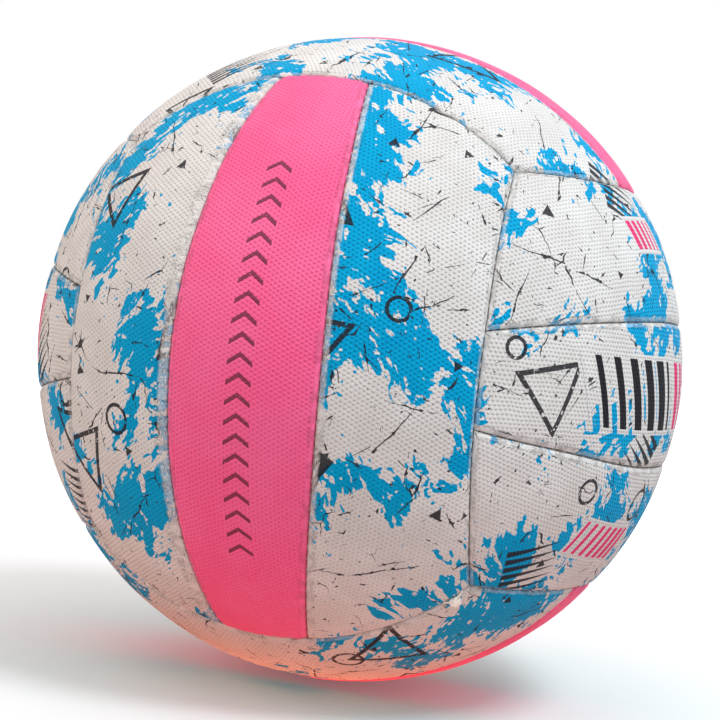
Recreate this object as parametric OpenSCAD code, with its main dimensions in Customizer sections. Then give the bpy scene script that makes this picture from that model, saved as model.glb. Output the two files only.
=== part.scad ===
// Netball, size 5: eighteen sewn cover panels on a bladder with a plug valve.
// The origin is the centre of the ball. The front face looks along -Y, the valve along +Y, +Z is up.
// Six faces hold three strips each, and the strips of neighbouring faces run square to each other.

/* [Ball] */
// Diameter over the cover panels (700 mm round)
ball_d = 222.8; // [215:0.1:230]
// Grip skin of a cover panel
skin_t = 1.2; // [0.8:0.1:1.6]
// Foam layer under the skin
foam_t = 2.2; // [1.8:0.1:3]
// Cloth lining under the foam
lining_t = 0.9; // [0.5:0.1:1.5]
// Bladder wall
bladder_t = 1; // [0.6:0.1:2]
// Bond line between two layers
bond_gap = 0.15; // [0.1:0.01:0.25]

/* [Seam layout] */
// Lean of the cone that a face seam lies on
edge_tilt = 5.5; // [3:0.5:8]
// Lean of the plane that a strip seam lies on
strip_tilt = 12.4; // [10:0.2:14]

/* [Seams] */
// Open gap between two sewn edges
seam_gap = 0.3; // [0.2:0.05:0.5]
// Width of the turned edge, from the seam to the full height of the skin
turn_w = 2.4; // [1.8:0.1:3]
// Depth of the turned edge at the seam
turn_depth = 1.3; // [0.8:0.1:1.6]
// Extra depth of the turned edge at a strip's ends
end_drop = 0.15; // [0.1:0.05:0.3]
// Skin folded down beside the seam
fold_t = 0.9; // [0.6:0.1:1.2]
// Sewing thread
thread_d = 0.7; // [0.5:0.05:0.9]
// Clearance between the thread and the turned edges
thread_clear = 0.1; // [0.05:0.01:0.2]
// Length left free of thread at each end of a seam
thread_stop = 2.5; // [2:0.5:5]

/* [Closing knot] */
// Thickness of each of the knot's two lobes
knot_d = 2.3; // [1.8:0.1:2.6]
// Distance between the middles of the lobes
knot_pitch = 1.5; // [1:0.1:1.6]
// Depth of the middle of the knot under the ball's surface
knot_depth = 0.3; // [0:0.1:0.6]
// Distance from the corner of three faces, along the seam
knot_run = 6; // [5:0.5:12]
// Clearance round the knot
knot_clear = 0.15; // [0.1:0.05:0.3]

/* [Valve] */
// Neck of the valve boot, in the cover
neck_d = 9; // [8.6:0.2:12]
// Depth of the neck's end under the ball's surface
neck_drop = 0.6; // [0.3:0.1:1]
// Clearance between the neck and the layers round it
neck_clear = 0.2; // [0.1:0.05:0.4]
// Body of the boot inside the bladder
boot_d = 11; // [10:0.5:14]
// Length of the boot
boot_l = 27; // [26:1:34]
// Flange of the boot
flange_d = 32; // [26:1:38]
// Thickness of the flange
flange_t = 1.2; // [0.8:0.1:2]
// Reinforcing patch between the flange and the bladder
patch_d = 46; // [40:1:60]
// Thickness of the patch
patch_t = 0.8; // [0.5:0.1:1.5]
// Shank of the plug
plug_d = 5; // [4.6:0.1:5.4]
// Length of the plug with its head
plug_l = 22; // [18:1:23]
// Head of the plug
head_d = 6.8; // [6.2:0.1:7.2]
// Thickness of the head
head_t = 1.4; // [1:0.1:2]
// Radial clearance between the plug and the boot
plug_clear = 0.06; // [0.03:0.01:0.09]
// Needle hole in the plug
needle_d = 2.2; // [2:0.05:2.4]
// Depth of the needle hole
needle_depth = 12; // [8:1:14]
// Air hole through the closed end of the boot
air_d = 2.6; // [2:0.1:3.2]

/* [Hidden] */
$fn = 180;
SIDES = ["front", "back", "right", "left", "top", "bottom"];
// Names of a face's strips, from its low side to its high side
STRIPS = [
    ["left", "middle", "right"],
    ["left", "middle", "right"],
    ["lower", "middle", "upper"],
    ["lower", "middle", "upper"],
    ["front", "middle", "rear"],
    ["front", "middle", "rear"]
];

ball_r = ball_d / 2;
foam_top = ball_r - skin_t - bond_gap;
lining_top = foam_top - foam_t - bond_gap;
cover_r = lining_top - lining_t;
bladder_r = cover_r - bond_gap;
seam_half = seam_gap / 2;
fold_in = seam_half + fold_t;
layer_in = fold_in + bond_gap;
// Overruns of cuts that run out of the ball
over = ball_d;

// Half angle of a face seam's cone: it passes through the corners of the three faces
edge_angle = acos((cos(edge_tilt) - sin(edge_tilt)) / sqrt(3));
// Half of a face seam's turn about its cone's axis
edge_half = atan(1 / (cos(edge_tilt) + sin(edge_tilt)));
// Half of a strip seam's turn, up to the face seam that it ends on
strip_reach = norm([cos(edge_tilt) * cos(strip_tilt), sin(edge_tilt)]);
strip_half = acos(cos(edge_angle) / strip_reach)
    - atan(tan(edge_tilt) / cos(strip_tilt));

// A slab and a cut take in this much more than the face or the seam, in degrees
spare = 12;
slab_side = 45 + spare / 2;
slab_reach = edge_angle - edge_tilt + spare / 2;
// Width of a cut, in degrees: it clears the corners of a slab
cut_reach = 38;
// Where a cut starts and ends, as shares of the radius that it is drawn at: its outer side clears the ball
cut_shares = [0.8, 1 / cos(cut_reach)];

// Slope of the turned edges, and the thread that lies between them
turn_slope = atan((turn_w - seam_half) / turn_depth);
thread_r = thread_d / 2;
thread_lie = ball_r - turn_depth - seam_half / tan(turn_slope)
    + (thread_r + thread_clear) / sin(turn_slope);

neck_top = ball_r - neck_drop;
patch_top = bladder_r - bladder_t - bond_gap;
flange_top = patch_top - patch_t - bond_gap;
boot_end = neck_top - boot_l;
plug_end = neck_top - plug_l;

// Turn a part of the top face onto face f
module on_face(f) {
    if (f == 0) rotate([90, 90, 0]) children();
    if (f == 1) mirror([0, 1, 0]) rotate([90, 90, 0]) children();
    if (f == 2) rotate([90, 0, 90]) children();
    if (f == 3) mirror([1, 0, 0]) rotate([90, 0, 90]) children();
    if (f == 4) children();
    if (f == 5) mirror([0, 0, 1]) children();
}

// Turn +Z onto the axis of a seam that runs along the face, on its low (-1) or high (1) side
module seam_axis(side, tilt) {
    rotate([-side * (90 + tilt), 0, 0]) children();
}

// A bent slab from radius low to radius high, between two turns about the X axis counted from +Z.
// It takes in the low half of one face and a little more.
module bent_slab(low, high, from, to) {
    rotate([0, 90, 0])
        rotate_extrude(start = 180 - to, angle = to - from)
            intersection() {
                difference() {
                    circle(r = high);
                    circle(r = low);
                }
                polygon([
                    [0, 0],
                    [over, 0],
                    [over, -over * tan(slab_reach)]
                ]);
            }
}

// What lies past a seam circle. It is cut away from the axis (way 1) or towards it (way -1).
// The wall stands inset from the seam, and the edge is turned in below radius r.
module past_seam(angle, middle, half, way, inset, turn, depth, r) {
    along = [sin(angle), cos(angle)];
    kept = way * [-cos(angle), sin(angle)];
    foot = (r - depth) * along + inset * kept;
    lip = foot + 2 * (depth * along + (turn - inset) * kept);
    far = angle + way * cut_reach;
    rotate_extrude(start = middle - half - spare, angle = 2 * (half + spare))
        polygon([
            cut_shares[0] * r * along + inset * kept,
            foot,
            lip,
            cut_shares[1] * r * [sin(far), cos(far)],
            cut_shares[0] * r * [sin(far), cos(far)]
        ]);
}

module past_end(inset, turn, r) {
    rotate([0, edge_tilt, 0])
        past_seam(edge_angle, 180, edge_half, 1, inset, turn, turn_depth + end_drop, r);
}

module past_strip(side, way, inset, turn, r) {
    seam_axis(side, strip_tilt)
        past_seam(90, -side * 90, strip_half, way, inset, turn, turn_depth, r);
}

module past_edge(side, inset, turn, r) {
    seam_axis(side, edge_tilt)
        past_seam(edge_angle, -side * 90, edge_half, -1, inset, turn, turn_depth, r);
}

// The low half of one layer of the middle strip. The cuts are made one after the other.
module half_middle(low, high, inset, turn, r) {
    difference() {
        difference() {
            difference() {
                bent_slab(low, high, -strip_tilt - spare, strip_tilt + spare);
                past_strip(-1, -1, inset, turn, r);
            }
            past_strip(1, -1, inset, turn, r);
        }
        past_end(inset, turn, r);
    }
}

// The low half of one layer of the outer strip on the high side
module half_outer(low, high, inset, turn, r) {
    difference() {
        difference() {
            difference() {
                bent_slab(low, high, strip_tilt - spare, slab_side);
                past_edge(1, inset, turn, r);
            }
            past_strip(1, 1, inset, turn, r);
        }
        past_end(inset, turn, r);
    }
}

// One layer of strip s of the top face, from radius low to radius high
module layer(s, low, high, inset, turn, r) {
    for (end = [0, 1])
        mirror([end, 0, 0]) {
            if (s == 0) mirror([0, 1, 0]) half_outer(low, high, inset, turn, r);
            if (s == 1) half_middle(low, high, inset, turn, r);
            if (s == 2) half_outer(low, high, inset, turn, r);
        }
}

// Parts of the valve are drawn with +Z pointing out of the ball
module along_valve() {
    rotate([-90, 0, 0]) children();
}

// Hole through a layer for the neck of the valve
module neck_hole() {
    along_valve()
        cylinder(h = over, d = neck_d + 2 * neck_clear);
}

// Two lobes of the tied thread, lying along the seam between the bottom and the front
module knot_lobes(d) {
    turn = knot_run / (ball_r * sin(edge_angle)) * 180 / PI;
    r = ball_r - knot_depth;
    on_face(5)
        seam_axis(-1, edge_tilt)
            rotate([0, 0, 90 - edge_half + turn])
                translate([r * sin(edge_angle), 0, r * cos(edge_angle)])
                    for (end = [-1, 1])
                        translate([0, end * knot_pitch / 2, 0])
                            sphere(d = d, $fn = 32);
}

function is_pink(f, s) = s == 1 && f != 2 && f != 3;

// Grip skin, folded down along all four seams
module cover_panel(f, s) {
    color(is_pink(f, s) ? "hotpink" : "whitesmoke")
        difference() {
            on_face(f) layer(s, cover_r, ball_r, seam_half, turn_w, ball_r);
            on_face(f)
                layer(s, cover_r - skin_t, ball_r - skin_t, fold_in, turn_w + fold_t, ball_r - skin_t);
            if (f == 1 && s == 1) neck_hole();
            if ((f == 5 && s == 0) || (f == 0 && s == 2)) knot_lobes(knot_d + 2 * knot_clear);
        }
}

// Foam that fills the folded skin
module cover_foam(f, s) {
    color("gainsboro")
        difference() {
            on_face(f)
                layer(s, foam_top - foam_t, foam_top, layer_in, turn_w + fold_t + bond_gap, foam_top);
            if (f == 1 && s == 1) neck_hole();
        }
}

// Cloth glued under the foam of the three strips of a face
module lining(f) {
    color("linen")
        difference() {
            on_face(f)
                for (s = [0:2])
                    layer(s, cover_r, lining_top, layer_in, turn_w + fold_t + bond_gap, foam_top);
            if (f == 1) neck_hole();
        }
}

// One sewn run of thread along a seam circle, half turns either way from its middle
module thread_run(side, tilt, angle, half) {
    stop = thread_stop / (thread_lie * sin(angle)) * 180 / PI;
    seam_axis(side, tilt)
        rotate_extrude(start = -side * 90 - half + stop, angle = 2 * (half - stop))
            translate([thread_lie * sin(angle), thread_lie * cos(angle)])
                circle(r = thread_r, $fn = 24);
}

// The two strip seams and the two long edge seams of a face
module seam_thread(f) {
    color("white")
        difference() {
            on_face(f)
                for (side = [-1, 1]) {
                    thread_run(side, strip_tilt, 90, strip_half);
                    thread_run(side, edge_tilt, edge_angle, edge_half);
                }
            if (f == 5) knot_lobes(knot_d + 2 * knot_clear);
        }
}

module closing_knot() {
    color("wheat") knot_lobes(knot_d);
}

module bladder() {
    color("dimgray")
        difference() {
            sphere(r = bladder_r);
            sphere(r = bladder_r - bladder_t);
            neck_hole();
        }
}

// A disc bent to the ball, top being the radius of its outer side
module bent_disc(top, t, d) {
    intersection() {
        difference() {
            sphere(r = top);
            sphere(r = top - t);
        }
        cylinder(h = over, d = d);
    }
}

module valve_patch() {
    color("slategray")
        difference() {
            along_valve() bent_disc(patch_top, patch_t, patch_d);
            neck_hole();
        }
}

module valve_boot() {
    body_top = flange_top - flange_t / 2;
    recess = head_t + plug_clear;
    bore_l = plug_l + plug_clear;
    color("black")
        along_valve()
            difference() {
                union() {
                    bent_disc(flange_top, flange_t, flange_d);
                    translate([0, 0, boot_end])
                        cylinder(h = body_top - boot_end, d = boot_d);
                    translate([0, 0, body_top])
                        cylinder(h = neck_top - body_top, d = neck_d);
                }
                translate([0, 0, neck_top - bore_l])
                    cylinder(h = over, d = plug_d + 2 * plug_clear);
                translate([0, 0, neck_top - recess])
                    cylinder(h = over, d = head_d + 2 * plug_clear);
                translate([0, 0, boot_end - over])
                    cylinder(h = 2 * over, d = air_d);
            }
}

// Rubber plug with the blind hole that takes the inflating needle
module valve_plug() {
    color("dimgray")
        along_valve()
            difference() {
                union() {
                    translate([0, 0, plug_end])
                        cylinder(h = plug_l - head_t / 2, d = plug_d);
                    translate([0, 0, neck_top - head_t])
                        cylinder(h = head_t, d = head_d);
                }
                translate([0, 0, neck_top - needle_depth])
                    cylinder(h = over, d = needle_d);
            }
}

for (f = [0:5]) {
    for (s = [0:2]) {
        cover_panel(f, s);
        cover_foam(f, s);
    }
    lining(f);
    seam_thread(f);
}
closing_knot();
bladder();
valve_patch();
valve_boot();
valve_plug();
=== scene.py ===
import math

import bpy
import numpy as np
from mathutils import Matrix, Vector


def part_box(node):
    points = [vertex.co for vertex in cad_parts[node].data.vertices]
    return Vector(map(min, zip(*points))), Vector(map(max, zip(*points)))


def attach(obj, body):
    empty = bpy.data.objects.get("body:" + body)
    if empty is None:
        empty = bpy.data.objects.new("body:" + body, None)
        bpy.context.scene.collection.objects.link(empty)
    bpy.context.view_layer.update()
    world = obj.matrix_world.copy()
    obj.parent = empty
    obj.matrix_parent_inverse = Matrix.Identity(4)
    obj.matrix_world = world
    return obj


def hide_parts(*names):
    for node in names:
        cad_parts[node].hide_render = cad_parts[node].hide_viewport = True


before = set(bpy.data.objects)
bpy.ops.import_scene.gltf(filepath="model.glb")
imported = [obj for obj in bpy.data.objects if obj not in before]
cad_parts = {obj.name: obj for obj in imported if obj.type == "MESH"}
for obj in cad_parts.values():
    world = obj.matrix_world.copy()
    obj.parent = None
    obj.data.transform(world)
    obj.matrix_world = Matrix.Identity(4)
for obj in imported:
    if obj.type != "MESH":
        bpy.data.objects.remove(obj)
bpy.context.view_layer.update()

# Camera
# It stands 5.4 ball radii from the middle of the ball, level with it and to the right of its front,
# and is rolled by six degrees, so that the ball leans as in the photograph.
BALL_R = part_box("top_middle_panel")[1].z
CAMERA_AWAY = 5.4 * BALL_R
CAMERA_RIGHT = Vector((0.94371, 0.31179, 0.11042))
CAMERA_UP = Vector((-0.11170, -0.01383, 0.99365))
CAMERA_BACK = Vector((0.31133, -0.95005, 0.02177))
CAMERA_DROP = 0.00028
CAMERA_LENS = 85.6
CAMERA_NEAR = 0.01


def put_in(name, data):
    """Makes an object of a camera, a mesh or a light and puts it in the scene."""
    made = bpy.data.objects.new(name, data)
    bpy.context.scene.collection.objects.link(made)
    return made


camera = put_in("camera", bpy.data.cameras.new("camera"))
camera.matrix_world = (
    Matrix.Translation(CAMERA_BACK * CAMERA_AWAY - CAMERA_UP * CAMERA_DROP)
    @ Matrix((CAMERA_RIGHT, CAMERA_UP, CAMERA_BACK)).transposed().to_4x4()
)
camera.data.lens = CAMERA_LENS
camera.data.clip_start = CAMERA_NEAR
bpy.context.scene.camera = camera


# Cover panels
# Eighteen strips of foam-backed grip skin, three to a face. Each is cut flat, turned in along its
# four edges and sewn to its neighbours from inside, so its edges roll down into narrow seams.
MM = 0.001
EDGE_TILT = math.radians(5.5)
STRIP_TILT = math.radians(12.4)
OUTER_MIDDLE = math.radians(24.6)
OUTER_HALF = math.radians(24.4) / 2
EDGE_ANGLE = math.acos((math.cos(EDGE_TILT) - math.sin(EDGE_TILT)) / math.sqrt(3))
SEAM_HALF = 0.15 * MM
SEAM_WANDER = 0.35 * MM
STITCH = 4.5 * MM
STITCH_PULL = 0.34 * MM
SKIN_T = 1.2 * MM
CROWN = 0.35 * MM
ROLL_WIDTH = 2.4 * MM
ROLL_DEPTH = 1.05 * MM
FLAT_ROLL = 0.6
FOLD_T = 0.9 * MM
FOLD_TOP = 0.5 * MM
FOLD_LEVELS = (3.2 * MM, 4.4 * MM, 4.6 * MM)
VALVE_HOLE = 4.7 * MM
HOLE_LIP = 0.9 * MM
HOLE_SINK = 0.45 * MM
HOLE_BLEND = 16 * MM
# The grid is even in the middle of a strip, and its last lines lie at these distances from a seam
GRID = 1.125 * MM
EDGE_LINES = np.array((0, 0.12, 0.28, 0.5, 0.8, 1.2, 1.7, 2.3, 3.0)) * MM
BACK_STEP = 4
# Widths of the stretched band beside a seam, in millimetres
END_BAND, SIDE_BAND, PINK_BAND, FLAT_BAND = 1.4, 1.9, 2.3, 3.6
# Each seam of a strip counts its millimetres from a number of its own, so that the material can
# tell the seams apart. A seam with a pink strip counts from PINK_START.
SEAM_STARTS = (0, 200, 600, 800)
PINK_START = 400
# Step from one strip's place on the printed sheet to the next
SHEET_STEP = np.array((0.41, 0.23))
FACES = {
    "front": ("left", "middle", "right"),
    "back": ("left", "middle", "right"),
    "right": ("lower", "middle", "upper"),
    "left": ("lower", "middle", "upper"),
    "top": ("front", "middle", "rear"),
    "bottom": ("front", "middle", "rear"),
}
# Where the top face's X, Y and Z lie on each face, one row of the turn at a time
ON_FACE = {
    "front": ((0, 1, 0), (0, 0, -1), (-1, 0, 0)),
    "back": ((0, 1, 0), (0, 0, 1), (-1, 0, 0)),
    "right": ((0, 0, 1), (1, 0, 0), (0, 1, 0)),
    "left": ((0, 0, -1), (1, 0, 0), (0, 1, 0)),
    "top": ((1, 0, 0), (0, 1, 0), (0, 0, 1)),
    "bottom": ((1, 0, 0), (0, 1, 0), (0, 0, -1)),
}
PINK_FACES = ("front", "back", "top", "bottom")


def direction(along, across):
    """Unit vectors on the top face, from the turns along and across its strips."""
    return np.stack(
        [
            np.sin(along),
            np.cos(along) * np.sin(across),
            np.cos(along) * np.cos(across),
        ],
        -1,
    )


def strip_end(across):
    """Turn along a strip at which it meets the face seam at its end."""
    a, b = math.cos(EDGE_TILT) * np.cos(across), math.sin(EDGE_TILT)
    return np.arccos(np.clip(math.cos(EDGE_ANGLE) / np.hypot(a, b), -1, 1)) - np.arctan2(b, a)


def strip_place(u, v, outer):
    """Turns along and across for shares u and v of a strip's half length and half width."""
    if not outer:
        across = v * STRIP_TILT
        return u * strip_end(across), across
    along, across = u * strip_end(STRIP_TILT), STRIP_TILT + 0 * v
    for _ in range(20):
        reach = np.clip(math.cos(EDGE_ANGLE) / np.cos(along), -1, 1)
        edge = EDGE_TILT + np.arcsin(reach)
        across = STRIP_TILT + (v + 1) / 2 * (edge - STRIP_TILT)
        along = u * strip_end(across)
    return along, across


def seam_distances(p, outer):
    """Distance to each of a strip's four seams and the place along that seam, in metres."""
    found = []
    for side in (-1, 1):
        axis = np.array([-side * math.sin(EDGE_TILT), 0, math.cos(EDGE_TILT)])
        level = np.array([side * math.cos(EDGE_TILT), 0, math.sin(EDGE_TILT)])
        turn = np.arctan2(p[..., 1], p @ level)
        away = BALL_R * (EDGE_ANGLE - np.arccos(np.clip(p @ axis, -1, 1)))
        found.append((away, BALL_R * math.sin(EDGE_ANGLE) * turn))
    for side in (-1, 1):
        if outer and side == 1:
            axis = np.array([0, math.cos(EDGE_TILT), -math.sin(EDGE_TILT)])
            level = np.array([0, math.sin(EDGE_TILT), math.cos(EDGE_TILT)])
            turn = np.arctan2(p[..., 0], p @ level)
            away = BALL_R * (np.arccos(np.clip(p @ axis, -1, 1)) - EDGE_ANGLE)
            found.append((away, BALL_R * math.sin(EDGE_ANGLE) * turn))
            continue
        tilt = STRIP_TILT if side == 1 or outer else -STRIP_TILT
        inward = 1 if outer else -side
        normal = inward * np.array([0, math.cos(tilt), -math.sin(tilt)])
        level = np.array([0, math.sin(tilt), math.cos(tilt)])
        turn = np.arctan2(p[..., 0], p @ level)
        found.append((BALL_R * np.arcsin(np.clip(p @ normal, -1, 1)), BALL_R * turn))
    return found


def ripple(p, wavelength, seed, waves=14):
    """A smooth random height between about -1 and 1 over points p, in metres: a sum of waves."""
    random = np.random.default_rng(seed)
    total = np.zeros(p.shape[:-1])
    for _ in range(waves):
        wave = random.normal(size=3)
        wave *= random.uniform(0.7, 1.3) / np.linalg.norm(wave)
        total += np.sin(p @ wave * (2 * math.pi / wavelength) + random.uniform(0, 6.28))
    return total / 4


def settle(p):
    """Shifts points by up to half a millimetre, as sewing and pumping leave the seams."""
    shift = np.stack([ripple(p, 70 * MM, seed) for seed in (11, 12, 13)], -1)
    shift -= p * (shift * p).sum(-1, keepdims=True) / (p * p).sum(-1, keepdims=True)
    return p + SEAM_WANDER * shift


def skin_height(at, seams, roll):
    """Radius of the skin: crowned, rolled over at the seams and drawn in at each stitch."""
    height = BALL_R + 0 * at[..., 0]
    turned = 0
    nearest = np.min([away for away, _ in seams], 0)
    height -= CROWN * np.exp(-np.maximum(nearest, 0) / (8 * MM))
    uneven = 0.75 + 0.35 * ripple(at, 9 * MM, 21)
    for (away, place), share in zip(seams, roll):
        turned = turned + share * np.clip(1 - (away - SEAM_HALF) / ROLL_WIDTH, 0, 1) ** 2
        pull = (0.5 + 0.5 * np.cos(2 * math.pi * place / STITCH)) ** 2
        height -= STITCH_PULL * pull * uneven * np.exp(-np.maximum(away, 0) / (1.5 * MM))
    height -= ROLL_DEPTH * (1 - np.sqrt(1 - np.clip(turned, 0, 1)))
    near = np.exp(-np.maximum(nearest, 0) / (4 * MM))
    height += 0.07 * MM * ripple(at, 21 * MM, 31) + 0.08 * MM * near * ripple(at, 4 * MM, 41)
    return height


def stations(half):
    """Places across or along a strip, in metres from its middle: close near the seams."""
    side = half - SEAM_HALF - EDGE_LINES
    inner = np.arange(1, int((side[-1] - 0.5 * MM) / GRID) + 1) * GRID
    half_line = np.concatenate([inner, side[::-1]])
    return np.concatenate([-half_line[::-1], [0], half_line])


def back_lines(count):
    """Numbers of the grid lines, out of count, that the coarser back keeps."""
    first = len(EDGE_LINES) - 1
    return sorted({0, *range(first, count - first, BACK_STEP), count - 1 - first, count - 1})


def flat_cut(p, outer):
    """Place of points on the flat cut of a strip, in metres, with its angles kept."""
    middle = OUTER_MIDDLE if outer else 0
    side = p @ np.array([0, math.cos(middle), -math.sin(middle)])
    up = p @ np.array([0, math.sin(middle), math.cos(middle)])
    away = np.arcsin(np.clip(side, -1, 1))
    across = np.log(np.tan(math.pi / 4 + away / 2))
    return BALL_R * np.stack([np.arctan2(p[..., 0], up), across], -1)


def around(rows, columns):
    """Row and column numbers of a grid's rim, once round."""
    last_row, last = rows - 1, columns - 1
    return (
        [(0, j) for j in range(last)]
        + [(i, last) for i in range(last_row)]
        + [(last_row, j) for j in range(last, 0, -1)]
        + [(i, 0) for i in range(last_row, 0, -1)]
    )


def add_map(mesh, name, places):
    """Gives a mesh a UV map, from one place for each of its points."""
    corner = np.zeros(len(mesh.loops), np.int32)
    mesh.loops.foreach_get("vertex_index", corner)
    mesh.uv_layers.new(name=name).uv.foreach_set("vector", places[corner].ravel())


def panel_piece(face, strip, number):
    """One cover panel as a closed skin: the outside, the fold, its rim and the back."""
    order = FACES[face].index(strip)
    outer = order != 1
    half_length = BALL_R * strip_end(0)
    half_width = BALL_R * (OUTER_HALF if outer else STRIP_TILT)
    rows, columns = stations(half_width), stations(half_length)
    hole = face == "back" and not outer
    # Printed edges sewn to a pink strip are crumpled, and the last one sewn lies flatter too
    by_pink = outer and face in PINK_FACES
    flatter = by_pink and order == 0
    side_band = FLAT_BAND if flatter else PINK_BAND if by_pink else SIDE_BAND
    bands = (END_BAND, END_BAND, side_band, END_BAND if outer else SIDE_BAND)
    starts = (*SEAM_STARTS[:2], PINK_START if by_pink else SEAM_STARTS[2], SEAM_STARTS[3])
    roll = (1, 1, FLAT_ROLL if flatter else 1, 1)
    # Strips on a face's low side are those on its high side, mirrored
    turn = np.array(ON_FACE[face], float) @ np.diag([1, -1 if order == 0 else 1, 1])

    def points(v, u, low=0.0):
        """Directions, radii, seam distances and cut places for places v and u of the grid."""
        if hole:
            reach = np.maximum(np.abs(u), np.abs(v))
            rounder = reach / np.maximum(np.hypot(u, v), 1e-9) - 1
            share = np.clip((HOLE_BLEND - reach) / (HOLE_BLEND - VALVE_HOLE), 0, 1)
            share = share * share * (3 - 2 * share)
            u, v = u * (1 + share * rounder), v * (1 + share * rounder)
        along, across = strip_place(u / half_length, v / half_width, outer)
        p = direction(along, across)
        seams = seam_distances(p, outer)
        if hole:
            to_hole = BALL_R * np.hypot(along, across)
            lip = np.clip(1 - (to_hole - VALVE_HOLE) / HOLE_LIP, 0, 1)
            low = low + HOLE_SINK * (1 - np.sqrt(1 - lip * lip))
        at = settle(BALL_R * p @ turn.T)
        at /= np.linalg.norm(at, axis=-1, keepdims=True)
        return at, skin_height(BALL_R * at, seams, roll) - low, seams, flat_cut(p, outer)

    vertices, cuts, edges, quads, backs = [], [], [], [], []

    def add(v, u, radius=None, low=0.0, shrink=0.0):
        """Adds points to the mesh and returns their numbers."""
        v, u = np.asarray(v, float), np.asarray(u, float)
        v = v * (1 - shrink / half_width)
        u = u * (1 - shrink / half_length)
        at, height, seams, cut = points(v, u, low)
        if radius is not None:
            height = 0 * height + radius
        shares = np.array([away / (width * MM) for (away, _), width in zip(seams, bands)])
        places = np.array([place / MM + first for (_, place), first in zip(seams, starts)])
        closest = shares.argmin(0)[None]
        edge = np.take_along_axis(np.stack([shares, places], -1), closest[..., None], 0)[0]
        start = sum(len(part) for part in vertices)
        vertices.append((at * height[..., None]).reshape(-1, 3))
        cuts.append(cut.reshape(-1, 2))
        edges.append(edge.reshape(-1, 2))
        return start + np.arange(height.size).reshape(height.shape)

    v, u = np.meshgrid(rows, columns, indexing="ij")
    top = add(v, u)
    grid = np.stack([top[:-1, :-1], top[:-1, 1:], top[1:, 1:], top[1:, :-1]], -1)
    kept = np.ones(grid.shape[:2], bool)
    thin_rows, thin_columns = back_lines(len(rows)), back_lines(len(columns))
    if hole:
        steps = round(VALVE_HOLE / GRID)
        low_row, low_column = len(rows) // 2 - steps, len(columns) // 2 - steps
        kept[low_row : low_row + 2 * steps, low_column : low_column + 2 * steps] = False
        thin_rows = sorted({*thin_rows, low_row, low_row + 2 * steps})
        thin_columns = sorted({*thin_columns, low_column, low_column + 2 * steps})
    quads.append(grid[kept])

    def rim(loop):
        """A loop of grid points: its places across and along, and its outside points."""
        at = np.array(loop)
        return rows[at[:, 0]], columns[at[:, 1]], top[at[:, 0], at[:, 1]]

    def band(above, below):
        """A band of skin that runs down from one loop of points to the next."""
        quads.append(np.stack([above, below, np.roll(below, -1), np.roll(above, -1)], -1))
        return below

    def coarse_loop(loop):
        """The points of a loop that the back's grid shares, as numbers in the loop."""
        return [k for k, (i, j) in enumerate(loop) if i in thin_rows and j in thin_columns]

    def zipper(fine, coarse, at):
        """Triangles from a fine loop to a coarse one that meets it at the places at."""
        for k, start in enumerate(at):
            after = (k + 1) % len(at)
            count = (at[after] - start) % len(fine)
            for step in range(count):
                a, b = fine[(start + step) % len(fine)], fine[(start + step + 1) % len(fine)]
                backs.append((b, a, coarse[k if step <= (count - 1) // 2 else after]))
                if step == (count - 1) // 2:
                    backs.append((b, coarse[k], coarse[after]))

    # The skin folds down beside the seam, turns in and comes up again to its back
    loop = around(len(rows), len(columns))
    v, u, above = rim(loop)
    above = band(above, add(v, u, low=FOLD_TOP))
    for level in FOLD_LEVELS:
        above = band(above, add(v, u, radius=BALL_R - level))
    at = coarse_loop(loop)
    low = add(v[at], u[at], radius=BALL_R - FOLD_LEVELS[-1], shrink=FOLD_T)
    high = add(v[at], u[at], low=SKIN_T, shrink=FOLD_T)
    zipper(above, low, at)
    backs.extend(np.stack([low, high, np.roll(high, -1), np.roll(low, -1)], -1).tolist())
    known = {loop[k]: high[n] for n, k in enumerate(at)}
    if hole:
        size = 2 * steps + 1
        loop = [(low_row + i, low_column + j) for i, j in around(size, size)][::-1]
        v, u, above = rim(loop)
        above = band(above, add(v, u, low=0.4 * MM))
        at = coarse_loop(loop)
        high = add(v[at], u[at], low=SKIN_T)
        zipper(above, high, at)
        known.update({loop[k]: high[n] for n, k in enumerate(at)})
    crossings = [
        (i, j)
        for i in thin_rows
        for j in thin_columns
        if (i, j) not in known
        and not (hole and max(abs(i - len(rows) // 2), abs(j - len(columns) // 2)) < steps)
    ]
    v = np.array([rows[i] for i, _ in crossings])
    u = np.array([columns[j] for _, j in crossings])
    inside = {**known, **dict(zip(crossings, add(v, u, low=SKIN_T)))}
    for i, next_i in zip(thin_rows, thin_rows[1:]):
        for j, next_j in zip(thin_columns, thin_columns[1:]):
            corners = [(i, j), (next_i, j), (next_i, next_j), (i, next_j)]
            if kept[i, j]:
                backs.append(tuple(inside[c] for c in corners))

    front_faces = np.concatenate([q.reshape(-1, 4) for q in quads]).tolist()
    faces = front_faces + [[int(n) for n in f] for f in backs]
    if np.linalg.det(turn) < 0:
        faces = [f[::-1] for f in faces]
    mesh = bpy.data.meshes.new(f"{face}_{strip}_skin")
    mesh.from_pydata(np.concatenate(vertices).tolist(), [], faces)
    # Each panel is cut from its own place on the printed sheet, every third one the other way up
    cut = np.concatenate(cuts) * (-1 if number % 3 == 1 else 1)
    add_map(mesh, "cut", cut + SHEET_STEP * (number % 5, number // 5))
    add_map(mesh, "seam", np.concatenate(edges))
    backing = np.zeros(len(mesh.polygons), np.int32)
    backing[len(front_faces) :] = 1
    mesh.polygons.foreach_set("material_index", backing)
    mesh.shade_smooth()
    mesh.validate()
    piece = put_in(f"{face}_{strip}_skin", mesh)
    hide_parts(f"{face}_{strip}_panel")
    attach(piece, "ball")
    return piece


panels = {}
for face, strips in FACES.items():
    for strip in strips:
        panels[face, strip] = panel_piece(face, strip, len(panels))


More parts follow.
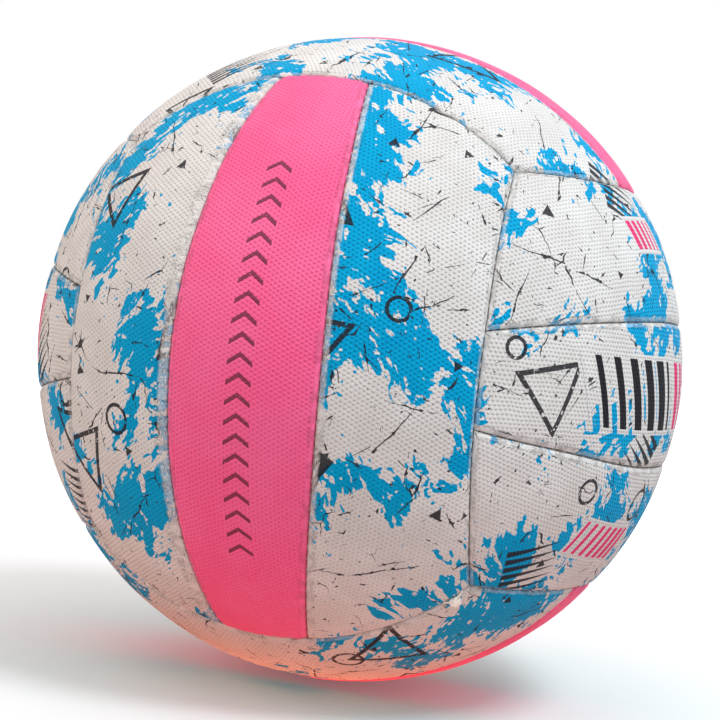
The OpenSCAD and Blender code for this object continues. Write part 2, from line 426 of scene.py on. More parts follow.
# Cover skins
# The film is pimpled polyurethane on cloth. The pimples are 1.5 mm apart, in staggered rows that
# follow each strip's cut, and fade out on the stretched band beside every seam.
PIMPLE = 1.5
PIMPLE_TOP, PIMPLE_FOOT = 0.06, 0.60
SKIN_BUMP = 0.32 * MM
BAR_MARGIN = 1.5


class Wire:
    """An output of a node. Arithmetic on it adds Math nodes."""

    def __init__(self, finish, socket):
        self.finish, self.socket = finish, socket

    def math(self, operation, *after, before=()):
        """A Math node on this value, with the values that come before and after it."""
        inputs = dict(enumerate((*before, self, *after)))
        return self.finish.node("ShaderNodeMath", {"operation": operation}, inputs)

    def __add__(self, other):
        return self.math("ADD", other)

    def __radd__(self, other):
        return self.math("ADD", before=(other,))

    def __sub__(self, other):
        return self.math("SUBTRACT", other)

    def __rsub__(self, other):
        return self.math("SUBTRACT", before=(other,))

    def __mul__(self, other):
        return self.math("MULTIPLY", other)

    def __rmul__(self, other):
        return self.math("MULTIPLY", before=(other,))

    def __truediv__(self, other):
        return self.math("DIVIDE", other)

    def __rtruediv__(self, other):
        return self.math("DIVIDE", before=(other,))

    def __pow__(self, other):
        return self.math("POWER", other)

    def __abs__(self):
        return self.math("ABSOLUTE")

    def __lt__(self, other):
        return self.math("LESS_THAN", other)

    def __gt__(self, other):
        return self.math("GREATER_THAN", other)


class Finish:
    """The nodes of a material, or of a world, in the making."""

    def __init__(self, name, kind="materials"):
        self.block = getattr(bpy.data, kind).new(name)
        self.block.use_nodes = True
        self.tree = self.block.node_tree
        self.tree.nodes.clear()

    def node(self, kind, settings=None, inputs=None, out=0):
        """Adds a node with its settings and inputs, and returns one of its outputs."""
        made = self.tree.nodes.new(kind)
        for name, value in (settings or {}).items():
            setattr(made, name, value)
        for name, value in (inputs or {}).items():
            if isinstance(value, Wire):
                self.tree.links.new(value.socket, made.inputs[name])
            else:
                made.inputs[name].default_value = value
        return Wire(self, made.outputs[out]) if made.outputs else None

    def vector(self, operation, *values, out=0):
        inputs = dict(enumerate(values))
        return self.node("ShaderNodeVectorMath", {"operation": operation}, inputs, out)

    def scaled(self, place, factor):
        return self.node("ShaderNodeVectorMath", {"operation": "SCALE"}, {0: place, 3: factor})

    def parts(self, place):
        """The three parts of a vector or a colour."""
        first = self.node("ShaderNodeSeparateXYZ", {}, {0: place})
        return [Wire(self, socket) for socket in first.socket.node.outputs]

    def noise(self, place, size, detail=2.0, roughness=0.5, colour=False):
        """Noise of about the given size, in the units of place."""
        inputs = {"Vector": self.scaled(place, 1 / size), "Scale": 1.0, "Detail": detail}
        return self.node("ShaderNodeTexNoise", {}, {**inputs, "Roughness": roughness}, int(colour))

    def cells(self, place, size, feature):
        """Distances in irregular cells of the given size."""
        inputs = {"Vector": self.scaled(place, 1 / size), "Scale": 1.0}
        return self.node("ShaderNodeTexVoronoi", {"feature": feature}, inputs)

    def swayed(self, place, size, amount):
        """Places shifted to and fro by noise of the given size."""
        sway = self.vector("SUBTRACT", self.noise(place, size, colour=True), (0.5, 0.5, 0.5))
        return self.vector("ADD", place, self.scaled(sway, amount))

    def step(self, value, low, high):
        """0 below low and 1 above high, smoothly; the other way round if low is above high."""
        inputs = {0: value, 1: min(low, high), 2: max(low, high), 3: low > high, 4: low < high}
        return self.node("ShaderNodeMapRange", {"interpolation_type": "SMOOTHSTEP"}, inputs)

    def mix(self, share, a, b, blend="MIX"):
        """Colour a, and b (or a blended with b) where share is 1."""
        settings = {"data_type": "RGBA", "blend_type": blend}
        return self.node("ShaderNodeMix", settings, {0: share, 6: a, 7: b}, 2)

    def bump(self, height, distance):
        return self.node("ShaderNodeBump", {}, {"Height": height, "Distance": distance})

    def output(self, shader, kind="Material"):
        """Leads a shader to the output of a material or a world, and returns its block."""
        self.node(f"ShaderNodeOutput{kind}", {}, {"Surface": shader})
        return self.block

    def surface(self, colour, roughness, normal, **uniform):
        """Leads a Principled shader to the output."""
        inputs = {"Base Color": colour, "Roughness": roughness, "Normal": normal}
        inputs.update({name.replace("_", " "): value for name, value in uniform.items()})
        return self.output(self.node("ShaderNodeBsdfPrincipled", {}, inputs))


def linear(*screen):
    """A colour given as it looks on screen, 11 to 255, in the shader's linear values."""
    return (*(((c / 255 + 0.055) / 1.055) ** 2.4 for c in screen), 1)


def cut_place(finish):
    """Place on the flat cut, place at the nearest seam, and how far off it is in its band."""
    cut = finish.node("ShaderNodeUVMap", {"uv_map": "cut"})
    seam = finish.node("ShaderNodeUVMap", {"uv_map": "seam"})
    return finish.scaled(cut, 1 / MM), seam, finish.parts(seam)[0]


def pimples(finish, place):
    """Height of the pimples, 0 to 1."""
    x, y, _ = finish.parts(finish.swayed(place, 7.0, 1.1))
    row = PIMPLE * math.sqrt(3)
    squares = []
    for shift in (0.0, 0.5):
        across = ((x / PIMPLE + shift).math("FRACT") - 0.5) * PIMPLE
        along = ((y / row + shift).math("FRACT") - 0.5) * row
        squares.append(across * across + along * along)
    return finish.step(squares[0].math("MINIMUM", squares[1]) ** 0.5, PIMPLE_FOOT, PIMPLE_TOP)


def creases(finish, seam, edge):
    """Hairline creases and streaks worn by rubbing that run along a seam, as two shares."""
    streak = finish.noise(finish.vector("MULTIPLY", seam, (1.0, 0.07, 1.0)), 0.11, 3.0, 0.6)
    gaps = finish.noise(finish.vector("MULTIPLY", seam, (0.6, 0.25, 1.0)), 1.0)
    lines = finish.step(abs(streak - 0.5), 0.016, 0.004) * finish.step(gaps, 0.47, 0.56)
    return lines * finish.step(edge, 1.35, 1.0), finish.step(streak, 0.50, 0.60)


def beside_pink(finish, seam):
    """Whether the nearest seam is one of a printed strip with a pink one."""
    _, run, _ = finish.parts(seam)
    return (run > PINK_START - 100.0) * (run < PINK_START + 100.0)


def skin_relief(finish, place, seam, edge):
    """Pimple height, the share beside the seams, creases, worn streaks and pucker ridges (a painted
    sheen), and the bumped normal.
    """
    free = finish.step(edge + (finish.noise(place, 2.2) - 0.5) * 0.5, 0.62, 1.0)
    height, near = pimples(finish, place) * free, 1 - free
    lines, rubs_and_sheen = creases(finish, seam, edge)
    puckers = finish.noise(finish.vector("MULTIPLY", seam, (1.3, 0.62, 1.0)), 1.0, 2.0, 0.6)
    puckers = 1 - abs(puckers - 0.5) * 4.0
    wide = beside_pink(finish, seam)
    grain = finish.noise(place, 0.25)
    relief = height + puckers * near * (wide * 0.7 + 0.5) - lines * 0.7 + grain * 0.08
    # The pucker ridges join the worn streaks as a painted sheen: the colour is paler on them
    rubs_and_sheen = rubs_and_sheen + puckers * (wide * 0.7 + 0.3)
    return height, near, lines, rubs_and_sheen, finish.bump(relief, SKIN_BUMP)


def seam_darkening(finish, seam, edge):
    """How dark the skin is where it rolls down into a seam."""
    return finish.step(edge, 0.26, 0.05) * (1 - beside_pink(finish, seam) * 0.9)


def speed_bars(finish, place, sheet, centre, half, thick, slant=0.35, folded=False):
    """Slanted bars (chevrons if folded) round a place on one panel: the bars and their margin.

    thick holds the width of the first bar, that of the last and the step from bar to bar.
    """
    soft = 0.06
    first, last, pitch = thick
    middle = SHEET_STEP / MM * sheet + centre
    x, y, _ = finish.parts(finish.vector("SUBTRACT", place, (*middle, 0.0)))
    x = x + (abs(y) if folded else y) * slant
    bar = abs((x / pitch + 0.5).math("FRACT") - 0.5) * pitch
    width = first + (x / half[0] + 1) * ((last - first) / 2)
    found = []
    for margin in (0.0, BAR_MARGIN):
        inside = finish.step(abs(x) - margin, half[0] + soft, half[0] - soft)
        inside = inside * finish.step(abs(y) - margin, half[1] + soft, half[1] - soft)
        found.append(finish.step(bar - width / 2 - margin, soft, -soft) * inside)
    return found


# The pink film is a little darker round its pimples, as painted shade, and darker where it rolls
# down into a seam. It is paler along its creases, with a painted sheen on the pucker ridges beside
# the seams, and has a faint painted red glow of its own. The front strip carries a plain row of
# chevrons.
pink = Finish("pink_skin")
place, seam, edge = cut_place(pink)
height, near, lines, rubs_and_sheen, normal = skin_relief(pink, place, seam, edge)
shade = pink.step(pink.noise(place, 24.0, 3.0), 0.35, 0.65)
tone = pink.mix(shade, linear(255, 98, 156), linear(255, 110, 166))
chevrons, _ = speed_bars(
    pink, place, (1, 0), (0.0, 0.0), (62.0, 4.0), (1.5, 1.5, 6.0), slant=0.7, folded=True
)
worn = pink.step(pink.noise(place, 1.2, 3.0, 0.7), 0.30, 0.38)
tone = pink.mix(chevrons * worn * 0.9, tone, linear(74, 34, 58))
# Painted shade: darker on the slopes of each pimple
tone = pink.mix(height * (1 - height) * 1.1, tone, (0.82, 0.34, 0.50, 1), "MULTIPLY")
# Paler along the creases, and paler on the pucker ridges beside the seams as a painted sheen
tone = pink.mix(lines * 0.5 + near * rubs_and_sheen * 0.12, tone, linear(244, 186, 202))
# The pink is darker where it rolls down into a seam
tone = pink.mix(seam_darkening(pink, seam, edge) * 0.4, tone, linear(130, 24, 60))
pink_skin = pink.surface(
    tone,
    0.5 - height * 0.1 + near * 0.08,
    normal,
    Specular_IOR_Level=0.35,
    # Painted glow: the pink gives off a faint red light of its own
    Emission_Color=(1.0, 0.02, 0.08, 1),
    Emission_Strength=0.08,
)


# The printed film is white with a generic print: torn splashes of blue, charcoal scratches and
# specks, a few outlined rings and triangles, and patches of fading bars. Sizes are in millimetres.
SPLASH, SPLASH_LEVEL = 36.0, 0.56
STROKE = (0.78, 0.62)
DROP = 4.2
OUTLINE = 0.11
FADING_PITCH = 3.2
FADING_LEAN = (0.50, 0.87)
BLUES = (0.0, 0.33, 0.68, 1), (0.0, 0.47, 0.81, 1)
ROSE, CHARCOAL = linear(246, 66, 130), linear(44, 44, 50)
# Scratches: size of a cell, length, width, share of the cells that have one, seed
SCRATCHES = (
    (16.0, 12.0, 0.24, 0.5, 1.0),
    (9.0, 4.5, 0.38, 0.28, 2.0),
    (31.0, 30.0, 0.28, 0.7, 3.0),
    (46.0, 46.0, 0.32, 0.8, 8.0),
    (5.5, 1.6, 0.32, 0.24, 4.0),
)
# Motifs: size of a cell, radius, share of the cells that have one, sides, seed, filled
MOTIFS = (
    (43.0, 7.5, 0.34, 3, 5.0, False),
    (37.0, 5.5, 0.25, 0, 6.0, False),
    (23.0, 1.3, 0.34, 3, 9.0, True),
)
# Rows of bars: place of the panel on the sheet, middle, half size, bars as in speed_bars, ink. The
# middle strips of the right and left faces carry big ones, and two others small pink ones.
BARS = (
    ((2, 1), (40.0, 0.0), (26.0, 11.0), (6.5, 2.2, 9.0), CHARCOAL),
    ((2, 1), (-4.0, 0.0), (13.0, 11.0), (2.2, 5.5, 8.0), ROSE),
    ((0, 2), (11.0, 0.0), (26.0, 11.0), (2.2, 6.5, 9.0), CHARCOAL),
    ((0, 2), (55.0, 0.0), (13.0, 11.0), (3.2, 5.5, 7.0), ROSE),
    ((1, 1), (-30.0, 4.0), (16.0, 6.0), (1.6, 3.6, 5.0), ROSE),
    ((3, 1), (-18.0, 6.0), (11.0, 5.0), (3.4, 1.4, 4.6), ROSE),
)


def splashes(finish, place):
    """Blue brush splashes with torn edges, drops thrown off them and gaps rubbed through them."""
    x, y, _ = finish.parts(finish.swayed(place, 26.0, 16.0))
    along, across = x * STROKE[0] + y * STROKE[1], y * STROKE[0] - x * STROKE[1]
    torn = finish.node("ShaderNodeCombineXYZ", {}, {0: along / 15.0, 1: across / 8.5})
    brush = finish.node("ShaderNodeCombineXYZ", {}, {0: along / 5.0, 1: across / 2.4})
    field = finish.noise(place, SPLASH, 1.0) + (finish.noise(torn, 1.0, 3.6, 0.72) - 0.5) * 0.70
    field = field + (finish.noise(brush, 1.0, 1.0) - 0.5) * 0.26
    mask = finish.step(field, SPLASH_LEVEL - 0.004, SPLASH_LEVEL + 0.006)
    size = (finish.noise(place, 9.0) - 0.44) * 0.8
    spot = finish.step(finish.cells(place, DROP, "F1") - size, 0.03, 0.0)
    near = finish.step(abs(field - SPLASH_LEVEL), 0.14, 0.12)
    gaps = finish.step(finish.noise(torn, 0.42, 2.6, 0.62), 0.605, 0.622)
    gaps = gaps * finish.step(finish.noise(place, 15.0, 1.0), 0.47, 0.5)
    return abs(mask - spot * near) * (1 - gaps)


def in_cells(finish, place, cell, seed):
    """Place from the middle of its square cell, and three random numbers for each cell."""
    squares = finish.scaled(place, 1 / cell)
    corner = finish.vector("FLOOR", squares)
    x, y, _ = finish.parts(finish.scaled(finish.vector("SUBTRACT", squares, corner), cell))
    key = finish.vector("ADD", corner, (0.0, 0.0, seed))
    random = finish.node("ShaderNodeTexWhiteNoise", {"noise_dimensions": "3D"}, {0: key}, 1)
    return x - cell / 2, y - cell / 2, *finish.parts(random)


def scratches(finish, place, cell, length, width, share, seed):
    """Short tapered scratches, at most one to a square cell, turned at random."""
    moved = finish.swayed(place, length * 0.5, length * 0.16)
    moved = finish.vector("ADD", moved, (seed * 7.3, seed * 3.1, 0.0))
    x, y, turn, size, chance = in_cells(finish, moved, cell, seed)
    angle = turn * (2 * math.pi)
    cosine, sine = angle.math("COSINE"), angle.math("SINE")
    along, across = x * cosine + y * sine, y * cosine - x * sine
    taper = 1 - abs(along) / ((size * 0.6 + 0.4) * (length / 2))
    ragged = finish.step(finish.noise(moved, 2.6, 3.0, 0.65), 0.50, 0.72) * 3.0 + 0.75
    ragged = ragged * finish.step(finish.noise(moved, 4.4), 0.34, 0.39)
    half = taper.math("MAXIMUM", 0.0) ** 0.6 * ragged * width
    return finish.step(abs(across) - half, 0.06, -0.04) * (taper > 0.0) * (chance < share)


def cracks(finish, place, size, seed):
    """Branching hairline cracks, seen in patches only."""
    moved = finish.vector("ADD", place, (seed, -seed, 0.0))
    line = finish.cells(finish.swayed(moved, 6.0, 5.0), size, "DISTANCE_TO_EDGE")
    patches = finish.noise(moved, size * 0.55, 1.0)
    crack = finish.step(line * size - (patches - 0.60) * 2.2, 0.07, 0.0)
    return crack * finish.step(patches, 0.575, 0.60)


def motifs(finish, place, cell, radius, share, sides, seed, filled):
    """Rings (no sides) or regular shapes, outlined or filled, at most one to a cell."""
    moved = finish.vector("ADD", place, (seed * 5.1, seed * 9.7, 0.0))
    x, y, turn, size, chance = in_cells(finish, moved, cell, seed)
    reach = (x * x + y * y) ** 0.5
    if sides:
        sector = 2 * math.pi / sides
        angle = y.math("ARCTAN2", x) + turn * 6.28 + 20 * math.pi
        reach = reach * (angle.math("MODULO", sector) - sector / 2).math("COSINE")
    reach = reach - (size * 0.45 + 0.55) * radius
    width = radius * OUTLINE
    outline = finish.step(reach if filled else abs(reach), width + 0.05, width - 0.08)
    worn = finish.step(finish.noise(place, 2.4, 3.0, 0.7), 0.36, 0.42)
    return outline * (chance < share) * worn


def fading_bars(finish, place, cell, radius, share, seed):
    """Patches of slanted bars that thin out towards one side."""
    moved = finish.vector("ADD", place, (seed * 5.1, seed * 9.7, 0.0))
    x, y, _, _, chance = in_cells(finish, moved, cell, seed)
    half = radius * 0.8
    slant = x * FADING_LEAN[0] + y * FADING_LEAN[1]
    across = x * FADING_LEAN[1] - y * FADING_LEAN[0]
    bars = abs((slant / FADING_PITCH).math("FRACT") - 0.5)
    inside = finish.step(abs(slant), radius, radius - 0.3)
    inside = inside * finish.step(abs(across), half, half - 0.3)
    thick = 0.36 - (across + half) / (2 * half) * 0.34
    return finish.step(bars - thick, 0.03, -0.03) * inside * (chance < share)


printed = Finish("printed_skin")
place, seam, edge = cut_place(printed)
height, near, lines, rubs_and_sheen, normal = skin_relief(printed, place, seam, edge)
shade = printed.step(printed.noise(place, 18.0, 4.0), 0.35, 0.65)
base = printed.mix(shade, linear(228, 225, 222), linear(238, 236, 234))
blue = printed.mix(printed.noise(place, 12.0, 3.0), *BLUES)
tone = printed.mix(splashes(printed, place), base, blue)
dark = cracks(printed, place, 21.0, 60.0)
for mark in (
    *(scratches(printed, place, *values) for values in SCRATCHES),
    *(motifs(printed, place, *values) for values in MOTIFS),
    fading_bars(printed, place, 71.0, 13.0, 0.4, 7.0),
):
    dark = dark.math("MAXIMUM", mark)
tone = printed.mix(dark * 0.95, tone, CHARCOAL)
for *layout, ink in BARS:
    bars, margin = speed_bars(printed, place, *layout)
    tone = printed.mix(margin, tone, linear(232, 230, 228))
    tone = printed.mix(bars, tone, ink)
# The print is paler on the turned edges, partly stretched and worn off in streaks by rubbing,
# partly a painted sheen on the turned edges and on their pucker ridges
tone = printed.mix(near * (rubs_and_sheen * 0.5 + 0.06), tone, linear(238, 235, 232))
# Painted shade: the film is darker on the slopes of each pimple
tone = printed.mix(height * (1 - height) * 0.9, tone, (0.60, 0.60, 0.61, 1), "MULTIPLY")
tone = printed.mix(lines * 0.45, tone, linear(122, 112, 108))
# The film is darker where it rolls down into a seam, less so beside a pink strip
tone = printed.mix(seam_darkening(printed, seam, edge) * 0.55, tone, linear(70, 56, 50))
rough = 0.52 - height * 0.1 + near * 0.08
printed_skin = printed.surface(tone, rough, normal, Specular_IOR_Level=0.06)

# The back of the skin is a napped cotton cloth that takes the glue.
backing = Finish("skin_backing")
spot = backing.node("ShaderNodeTexCoord", {}, {}, 3)
nap = backing.noise(spot, 0.0006, 4.0, 0.7)
tone = backing.mix(nap, linear(190, 186, 178), linear(222, 219, 212))
skin_backing = backing.surface(tone, 0.95, backing.bump(nap, 0.0002))

for (face, strip), piece in panels.items():
    plain = strip == "middle" and face in PINK_FACES
    piece.data.materials.append(pink_skin if plain else printed_skin)
    piece.data.materials.append(skin_backing)


# Seam thread
# White polyester thread holds every pair of turned edges together. It is sewn from inside, hides
# between the two skins, and shows as a speck at each stitch, 4.5 mm apart.
THREAD_R = 0.25 * MM
THREAD_LOW = 2.3 * MM
THREAD_RISE = 0.75 * MM
THREAD_END = 2.5 * MM
PLY = 0.9 * MM


def tube(path, radius, up, closed=False, sides=8, start=0):
    """A round cord along a path: its points, its faces, and (length, share round) at each point."""
    path = np.asarray(path, float)
    after = np.roll(path, -1, 0) if closed else np.vstack([path[1:], 2 * path[-1] - path[-2]])
    before = np.roll(path, 1, 0) if closed else np.vstack([2 * path[0] - path[1], path[:-1]])
    run = (after - before) / np.linalg.norm(after - before, axis=1, keepdims=True)
    over = up - run * (up * run).sum(1, keepdims=True)
    over /= np.linalg.norm(over, axis=1, keepdims=True)
    side = np.cross(run, over)
    turns = (np.arange(sides) * 2 * math.pi / sides)[None, :, None]
    ring = np.cos(turns) * side[:, None] + np.sin(turns) * over[:, None]
    points = path[:, None] + radius * ring
    number = start + np.arange(points[..., 0].size).reshape(len(path), sides)
    on = number if closed else number[:-1]
    on_after = np.roll(number, -1, 0) if closed else number[1:]
    quads = np.stack([on, on_after, np.roll(on_after, -1, 1), np.roll(on, -1, 1)], -1)
    faces = quads.reshape(-1, 4).tolist()
    if not closed:
        faces += [number[0].tolist(), number[-1][::-1].tolist()]
    lengths = np.concatenate([[0], np.cumsum(np.linalg.norm(np.diff(path, axis=0), axis=1))])
    around_it = np.stack(np.broadcast_arrays(lengths[:, None], np.arange(sides)[None] / sides), -1)
    return points.reshape(-1, 3), faces, around_it.reshape(-1, 2)


def cord_mesh(name, cords, material):
    """One smooth object made of several tubes."""
    points, faces, maps = [], [], []
    for *cord, shape in cords:
        made = tube(*cord, start=sum(len(p) for p in points), **shape)
        points.append(made[0])
        faces.extend(made[1])
        maps.append(made[2])
    mesh = bpy.data.meshes.new(name)
    mesh.from_pydata(np.concatenate(points).tolist(), [], faces)
    add_map(mesh, "lay", np.concatenate(maps))
    mesh.materials.append(material)
    mesh.shade_smooth()
    return put_in(name, mesh)


def seam_cord(face, side, edge):
    """The thread of one of a face's edges if edge is true, or else of one of its strip seams."""
    if edge:
        tilt, angle = EDGE_TILT, EDGE_ANGLE
        half = math.atan(1 / (math.cos(tilt) + math.sin(tilt)))
    else:
        tilt, angle = STRIP_TILT, math.pi / 2
        half = float(strip_end(tilt))
    reach = BALL_R * math.sin(angle)
    half -= THREAD_END / reach
    turn = np.linspace(-half, half, round(2 * half * reach / (STITCH / 8)))
    axis = np.array([0, side * math.cos(tilt), -math.sin(tilt)])
    level = np.array([0, side * math.sin(tilt), math.cos(tilt)])
    p = math.cos(angle) * axis + math.sin(angle) * (
        np.cos(turn)[:, None] * level + np.sin(turn)[:, None] * np.array([1, 0, 0])
    )
    at = settle(BALL_R * p @ np.array(ON_FACE[face], float).T)
    at /= np.linalg.norm(at, axis=1, keepdims=True)
    rise = (0.5 + 0.5 * np.cos(2 * math.pi * turn * reach / STITCH)) ** 5
    return at * (BALL_R - THREAD_LOW + THREAD_RISE * rise)[:, None], THREAD_R, at, {}


thread = Finish("seam_thread")
lay = thread.node("ShaderNodeUVMap", {"uv_map": "lay"})
run, share, _ = thread.parts(lay)
twist = ((run / PLY + share) * (2 * math.pi)).math("SINE")
fibre = thread.noise(lay, 0.0004, 3.0)
# Painted light and shade: paler on the crests of the twist, darker in the grooves between its plies
tone = thread.mix(twist * 0.5 + 0.5, linear(186, 178, 170), linear(232, 228, 220))
tone = thread.mix(fibre * 0.5, tone, linear(176, 166, 158))
normal = thread.bump(twist + fibre * 0.6, 0.00006)
thread_finish = thread.surface(tone, 0.62 + fibre * 0.2, normal)

for face in FACES:
    cords = [seam_cord(face, side, edge) for side in (-1, 1) for edge in (False, True)]
    stitches = cord_mesh(f"{face}_stitches", cords, thread_finish)
    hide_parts(f"{face}_seam_thread")
    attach(stitches, "ball")


# Closing knot
# The last seam is sewn by hand with thick cream thread. Its knot sits on the seam of the bottom
# and the front, close to the corner: a small round woven knot with two short tails, which leans
# over towards the bottom. Sizes are in millimetres.
CORD_R = 0.52
TAIL_R = 0.30
KNOT_LEAN = -0.7
knot_low, knot_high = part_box("closing_knot")
knot_at = np.array((knot_low + knot_high) / 2)
knot_up = knot_at / np.linalg.norm(knot_at)
seam_axle = np.array([0, -math.cos(EDGE_TILT), math.sin(EDGE_TILT)])
knot_run = np.cross(seam_axle, knot_up)
knot_run /= np.linalg.norm(knot_run)
knot_side = np.cross(knot_up, knot_run)


def knot_cord(places, radius, closed):
    """A cord of the knot, from places along the seam, across it and outward."""
    path = knot_at + np.asarray(places) * MM @ np.stack([knot_run, knot_side, knot_up])
    up = np.broadcast_to(knot_up + 0.01 * knot_side, path.shape)
    return path, radius * MM, up, {"closed": closed, "sides": 12}


turn = np.linspace(0, 2 * math.pi, 180, endpoint=False)
reach = 0.92 + 0.45 * np.cos(5 * turn)
across = reach * np.sin(2 * turn) + KNOT_LEAN
weave = np.stack([1.1 * reach * np.cos(2 * turn), across, 0.75 + 0.62 * np.sin(5 * turn)], -1)
bend = np.linspace(0, 1, 14)
tails = [
    np.stack([way * (1.0 + 2.6 * bend), way * (0.25 - 0.3 * bend), 0.35 - 1.5 * bend**1.5], -1)
    for way in (-1, 1)
]
cotton = Finish("knot_cotton")
lay = cotton.node("ShaderNodeUVMap", {"uv_map": "lay"})
run, share, _ = cotton.parts(lay)
plies = ((run / (1.3 * MM) + share * 2) * (2 * math.pi)).math("SINE")
fibre = cotton.noise(lay, 0.0005, 4.0, 0.7)
tone = cotton.mix(fibre, linear(240, 236, 224), linear(255, 253, 246))
# Painted shade: darker in the grooves between the plies
tone = cotton.mix(cotton.step(plies, -0.6, -1.0) * 0.3, tone, linear(190, 176, 152))
knot_finish = cotton.surface(
    tone,
    0.8,
    cotton.bump(plies * 0.5 + fibre, 0.00012),
    # Painted glow: the cream cotton gives off a little light of its own
    Emission_Color=(1.0, 0.96, 0.86, 1),
    Emission_Strength=0.16,
)
cords = [knot_cord(weave, CORD_R, True)] + [knot_cord(tail, TAIL_R, False) for tail in tails]
knot = cord_mesh("closing_knot_cord", cords, knot_finish)
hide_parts("closing_knot")
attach(knot, "ball")


# Foam, lining and bladder
# Under each skin lies a closed-cell foam pad, then a cotton and polyester lining glued over the
# whole face, and inside them all a moulded butyl bladder with a patch where the valve comes in.
def inner_finish(name, size, detail, dark, light, roughness, relief, woven=0.0):
    """A finish for a hidden layer: mottled in the given size, and woven if asked."""
    layer = Finish(name)
    spot = layer.node("ShaderNodeTexCoord", {}, {}, 3)
    mottle = layer.noise(spot, size, detail, 0.65)
    height = mottle
    if woven:
        turns = layer.scaled(spot, 2 * math.pi / woven)
        x, y, z = (part.math("SINE") for part in layer.parts(turns))
        height = x * y + z * 0.5 + mottle * 0.4
    tone = layer.mix(layer.step(mottle, 0.3, 0.7), linear(*dark), linear(*light))
    return layer.surface(tone, mottle * 0.15 + roughness, layer.bump(height, relief))


foam = inner_finish("foam", 0.0011, 3.0, (206, 206, 202), (238, 238, 234), 0.8, 0.0003)
lining = inner_finish(
    "lining", 0.004, 3.0, (214, 206, 190), (238, 232, 220), 0.82, 0.0001, woven=0.0008
)
bladder = inner_finish("bladder_rubber", 0.012, 4.0, (34, 34, 36), (58, 58, 60), 0.55, 0.0002)
valve_rubber = inner_finish("valve_rubber", 0.0015, 3.0, (28, 28, 30), (48, 48, 50), 0.5, 0.00004)
LAYERS = {
    "foam": foam,
    "lining": lining,
    "bladder": bladder,
    "patch": bladder,
    "boot": valve_rubber,
}
for name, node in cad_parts.items():
    kind = name.split("_")[-1]
    if kind in LAYERS:
        node.data.materials.clear()
        node.data.materials.append(LAYERS[kind])


# Valve plug
# A turned and moulded plug of soft grey rubber fills the bore of the valve boot. Its low head sits
# in a recess, a needle goes in through the hole in the head, and two grooves hold the lubricant.
PLUG_R = 2.5
GROOVE_R = 2.32
HEAD_R = 3.4
NEEDLE_R = 1.1
SIDES = 72
plug_end, plug_top = (corner.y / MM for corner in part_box("valve_plug"))
# Radius and height in millimetres of each ring, from the foot up to the head and down the hole
PLUG_PROFILE = [
    (0.0, plug_end),
    (1.1, plug_end + 0.05),
    (1.9, plug_end + 0.4),
    (2.35, plug_end + 1.0),
    (PLUG_R, plug_end + 1.9),
    (PLUG_R, plug_end + 6.0),
    (GROOVE_R, plug_end + 6.4),
    (GROOVE_R, plug_end + 7.2),
    (PLUG_R, plug_end + 7.6),
    (PLUG_R, plug_end + 12.0),
    (GROOVE_R, plug_end + 12.4),
    (GROOVE_R, plug_end + 13.2),
    (PLUG_R, plug_end + 13.6),
    (PLUG_R, plug_top - 1.62),
    (2.62, plug_top - 1.45),
    (3.1, plug_top - 1.4),
    (3.34, plug_top - 1.33),
    (HEAD_R, plug_top - 1.15),
    (HEAD_R, plug_top - 0.4),
    (3.3, plug_top - 0.12),
    (3.05, plug_top),
    (2.3, plug_top - 0.03),
    (1.7, plug_top - 0.1),
    (1.35, plug_top - 0.35),
    (NEEDLE_R, plug_top - 0.8),
    (NEEDLE_R, plug_top - 11.6),
    (0.8, plug_top - 11.9),
    (0.0, plug_top - 12.0),
]
turns = np.arange(SIDES) * 2 * math.pi / SIDES
points, faces, previous = [], [], None
for radius, height in PLUG_PROFILE:
    start, count = len(points), SIDES if radius else 1
    points += [
        (radius * MM * math.cos(a), height * MM, radius * MM * math.sin(a)) for a in turns[:count]
    ]
    row = [start + k % count for k in range(SIDES)]
    if previous:
        for k in range(SIDES):
            after = (k + 1) % SIDES
            corners = [previous[k], row[k], row[after], previous[after]]
            faces.append(list(dict.fromkeys(corners)))
    previous = row
plug_mesh = bpy.data.meshes.new("plug")
plug_mesh.from_pydata(points, [], faces)
plug_mesh.shade_smooth()
plug_mesh.set_sharp_from_angle(angle=math.radians(50))
plug_mesh.materials.append(
    inner_finish("plug_rubber", 0.0012, 3.0, (92, 92, 96), (118, 118, 122), 0.48, 0.00003)
)
plug = put_in("inflation_plug", plug_mesh)
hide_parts("valve_plug")
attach(plug, "plug")


# Floor and studio
# A plain pale floor in a soft white room, with two soft lamps: a cool one high on the right and a
# warmer one on the left. The floor throws a warm light back at the ball from below.
FLOOR_HALF = 30
# Distances on the floor from the point that the ball stands on, in metres
SHADE_REACH = 0.09
TINT_START, TINT_END = 0.05, 0.19
WARM_REACH = 0.27
GLOW_START, GLOW_END = 0.036, 0.084
GLOW_POWER = 0.68
PLAIN = (1, 1, 1, 1)
pale = Finish("floor_paint")
spot = pale.node("ShaderNodeTexCoord", {}, {}, 3)
away = pale.vector("LENGTH", pale.vector("MULTIPLY", spot, (1.0, 1.0, 0.0)), out=1)
seen = pale.node("ShaderNodeLightPath")
paint = pale.mix(pale.noise(spot, 0.4, 3.0), (0.80, 0.80, 0.80, 1), (0.84, 0.84, 0.84, 1))
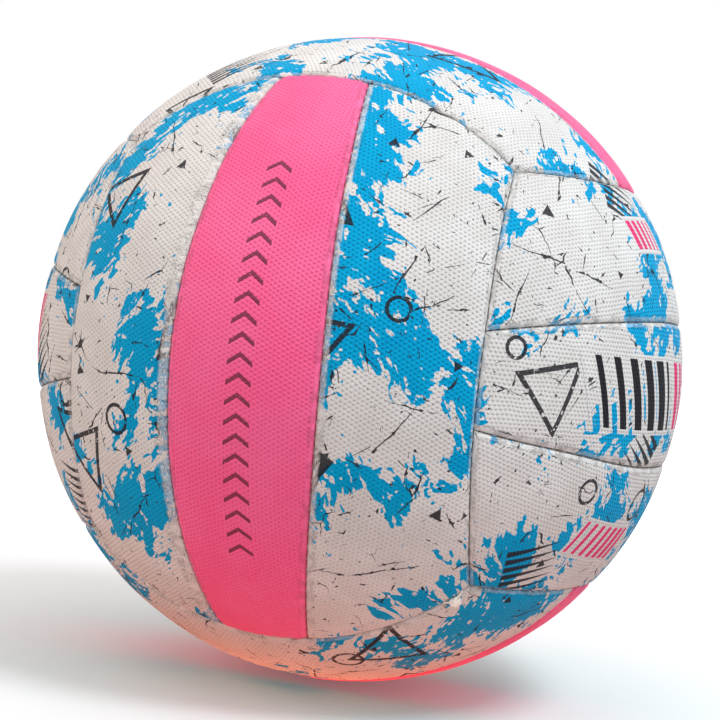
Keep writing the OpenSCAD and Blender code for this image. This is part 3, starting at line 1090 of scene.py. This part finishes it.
# The paint seen by the camera is darker and cooler under the ball: a painted contact shadow, tinted
# to take the ball's own pink out of it
under = pale.mix(pale.step(away, 0.0, SHADE_REACH), (0.10, 0.38, 0.38, 1), (0.68, 0.80, 0.80, 1))
paint = pale.mix(pale.step(away, TINT_START, TINT_END), under, paint)
warm = pale.mix(pale.step(away, 0.0, WARM_REACH), (0.90, 0.42, 0.32, 1), (0.46, 0.45, 0.45, 1))
diffuse = pale.node("ShaderNodeBsdfDiffuse", {}, {0: pale.mix(seen, warm, paint)})
# Painted light: the floor seen by the camera glows, more so away from the ball, so that it fades
# into the white room
glow = seen * (pale.step(away, 0.0, 1.2) * 0.6 + 0.1)
glow = glow + (1 - seen) * pale.step(away, GLOW_END, GLOW_START) * GLOW_POWER
tint = pale.mix(seen, (1.0, 0.34, 0.21, 1), PLAIN)
shine = pale.node("ShaderNodeEmission", {}, {0: tint, 1: glow})
lit_paint = pale.node("ShaderNodeAddShader", {}, {0: diffuse, 1: shine})
floor_mesh = bpy.data.meshes.new("floor")
square = ((-1, -1), (1, -1), (1, 1), (-1, 1))
corners = [(x * FLOOR_HALF, y * FLOOR_HALF, -BALL_R) for x, y in square]
floor_mesh.from_pydata(corners, [], [(0, 1, 2, 3)])
floor_mesh.materials.append(pale.output(lit_paint))
put_in("floor", floor_mesh)

sky = Finish("studio", "worlds")
toward = sky.node("ShaderNodeTexCoord")
seen = sky.node("ShaderNodeLightPath")
to_right = sky.vector("DOT_PRODUCT", toward, tuple(CAMERA_RIGHT), out=1)
tint = sky.mix(sky.step(to_right, -0.9, 0.4), (0.97, 0.82, 0.74, 1), (0.93, 1.0, 1.05, 1))
_, _, rise = sky.parts(toward)
glow = (sky.step(rise, -0.1, 0.9) * 0.24 + 0.62).math("MAXIMUM", seen)
shine = sky.node("ShaderNodeBackground", {}, {0: sky.mix(seen, tint, PLAIN), 1: glow})
bpy.context.scene.world = sky.output(shine, "World")


def lamp(name, place, size, power, colour):
    """A square soft lamp that looks at the middle of the ball."""
    data = bpy.data.lights.new(name, "AREA")
    data.size, data.energy, data.color = size, power, colour
    made = put_in(name, data)
    made.location = place
    made.rotation_mode = "QUATERNION"
    made.rotation_quaternion = (-Vector(place)).to_track_quat("-Z", "Y")
    made.visible_camera = False


lamp("high_right", (0.75, -0.35, 1.25), 0.45, 11.5, (0.95, 0.98, 1.0))
lamp("left", (-1.1, -0.6, 0.5), 0.7, 3.9, (1.0, 0.79, 0.66))
bpy.context.scene.view_settings.view_transform = "Standard"
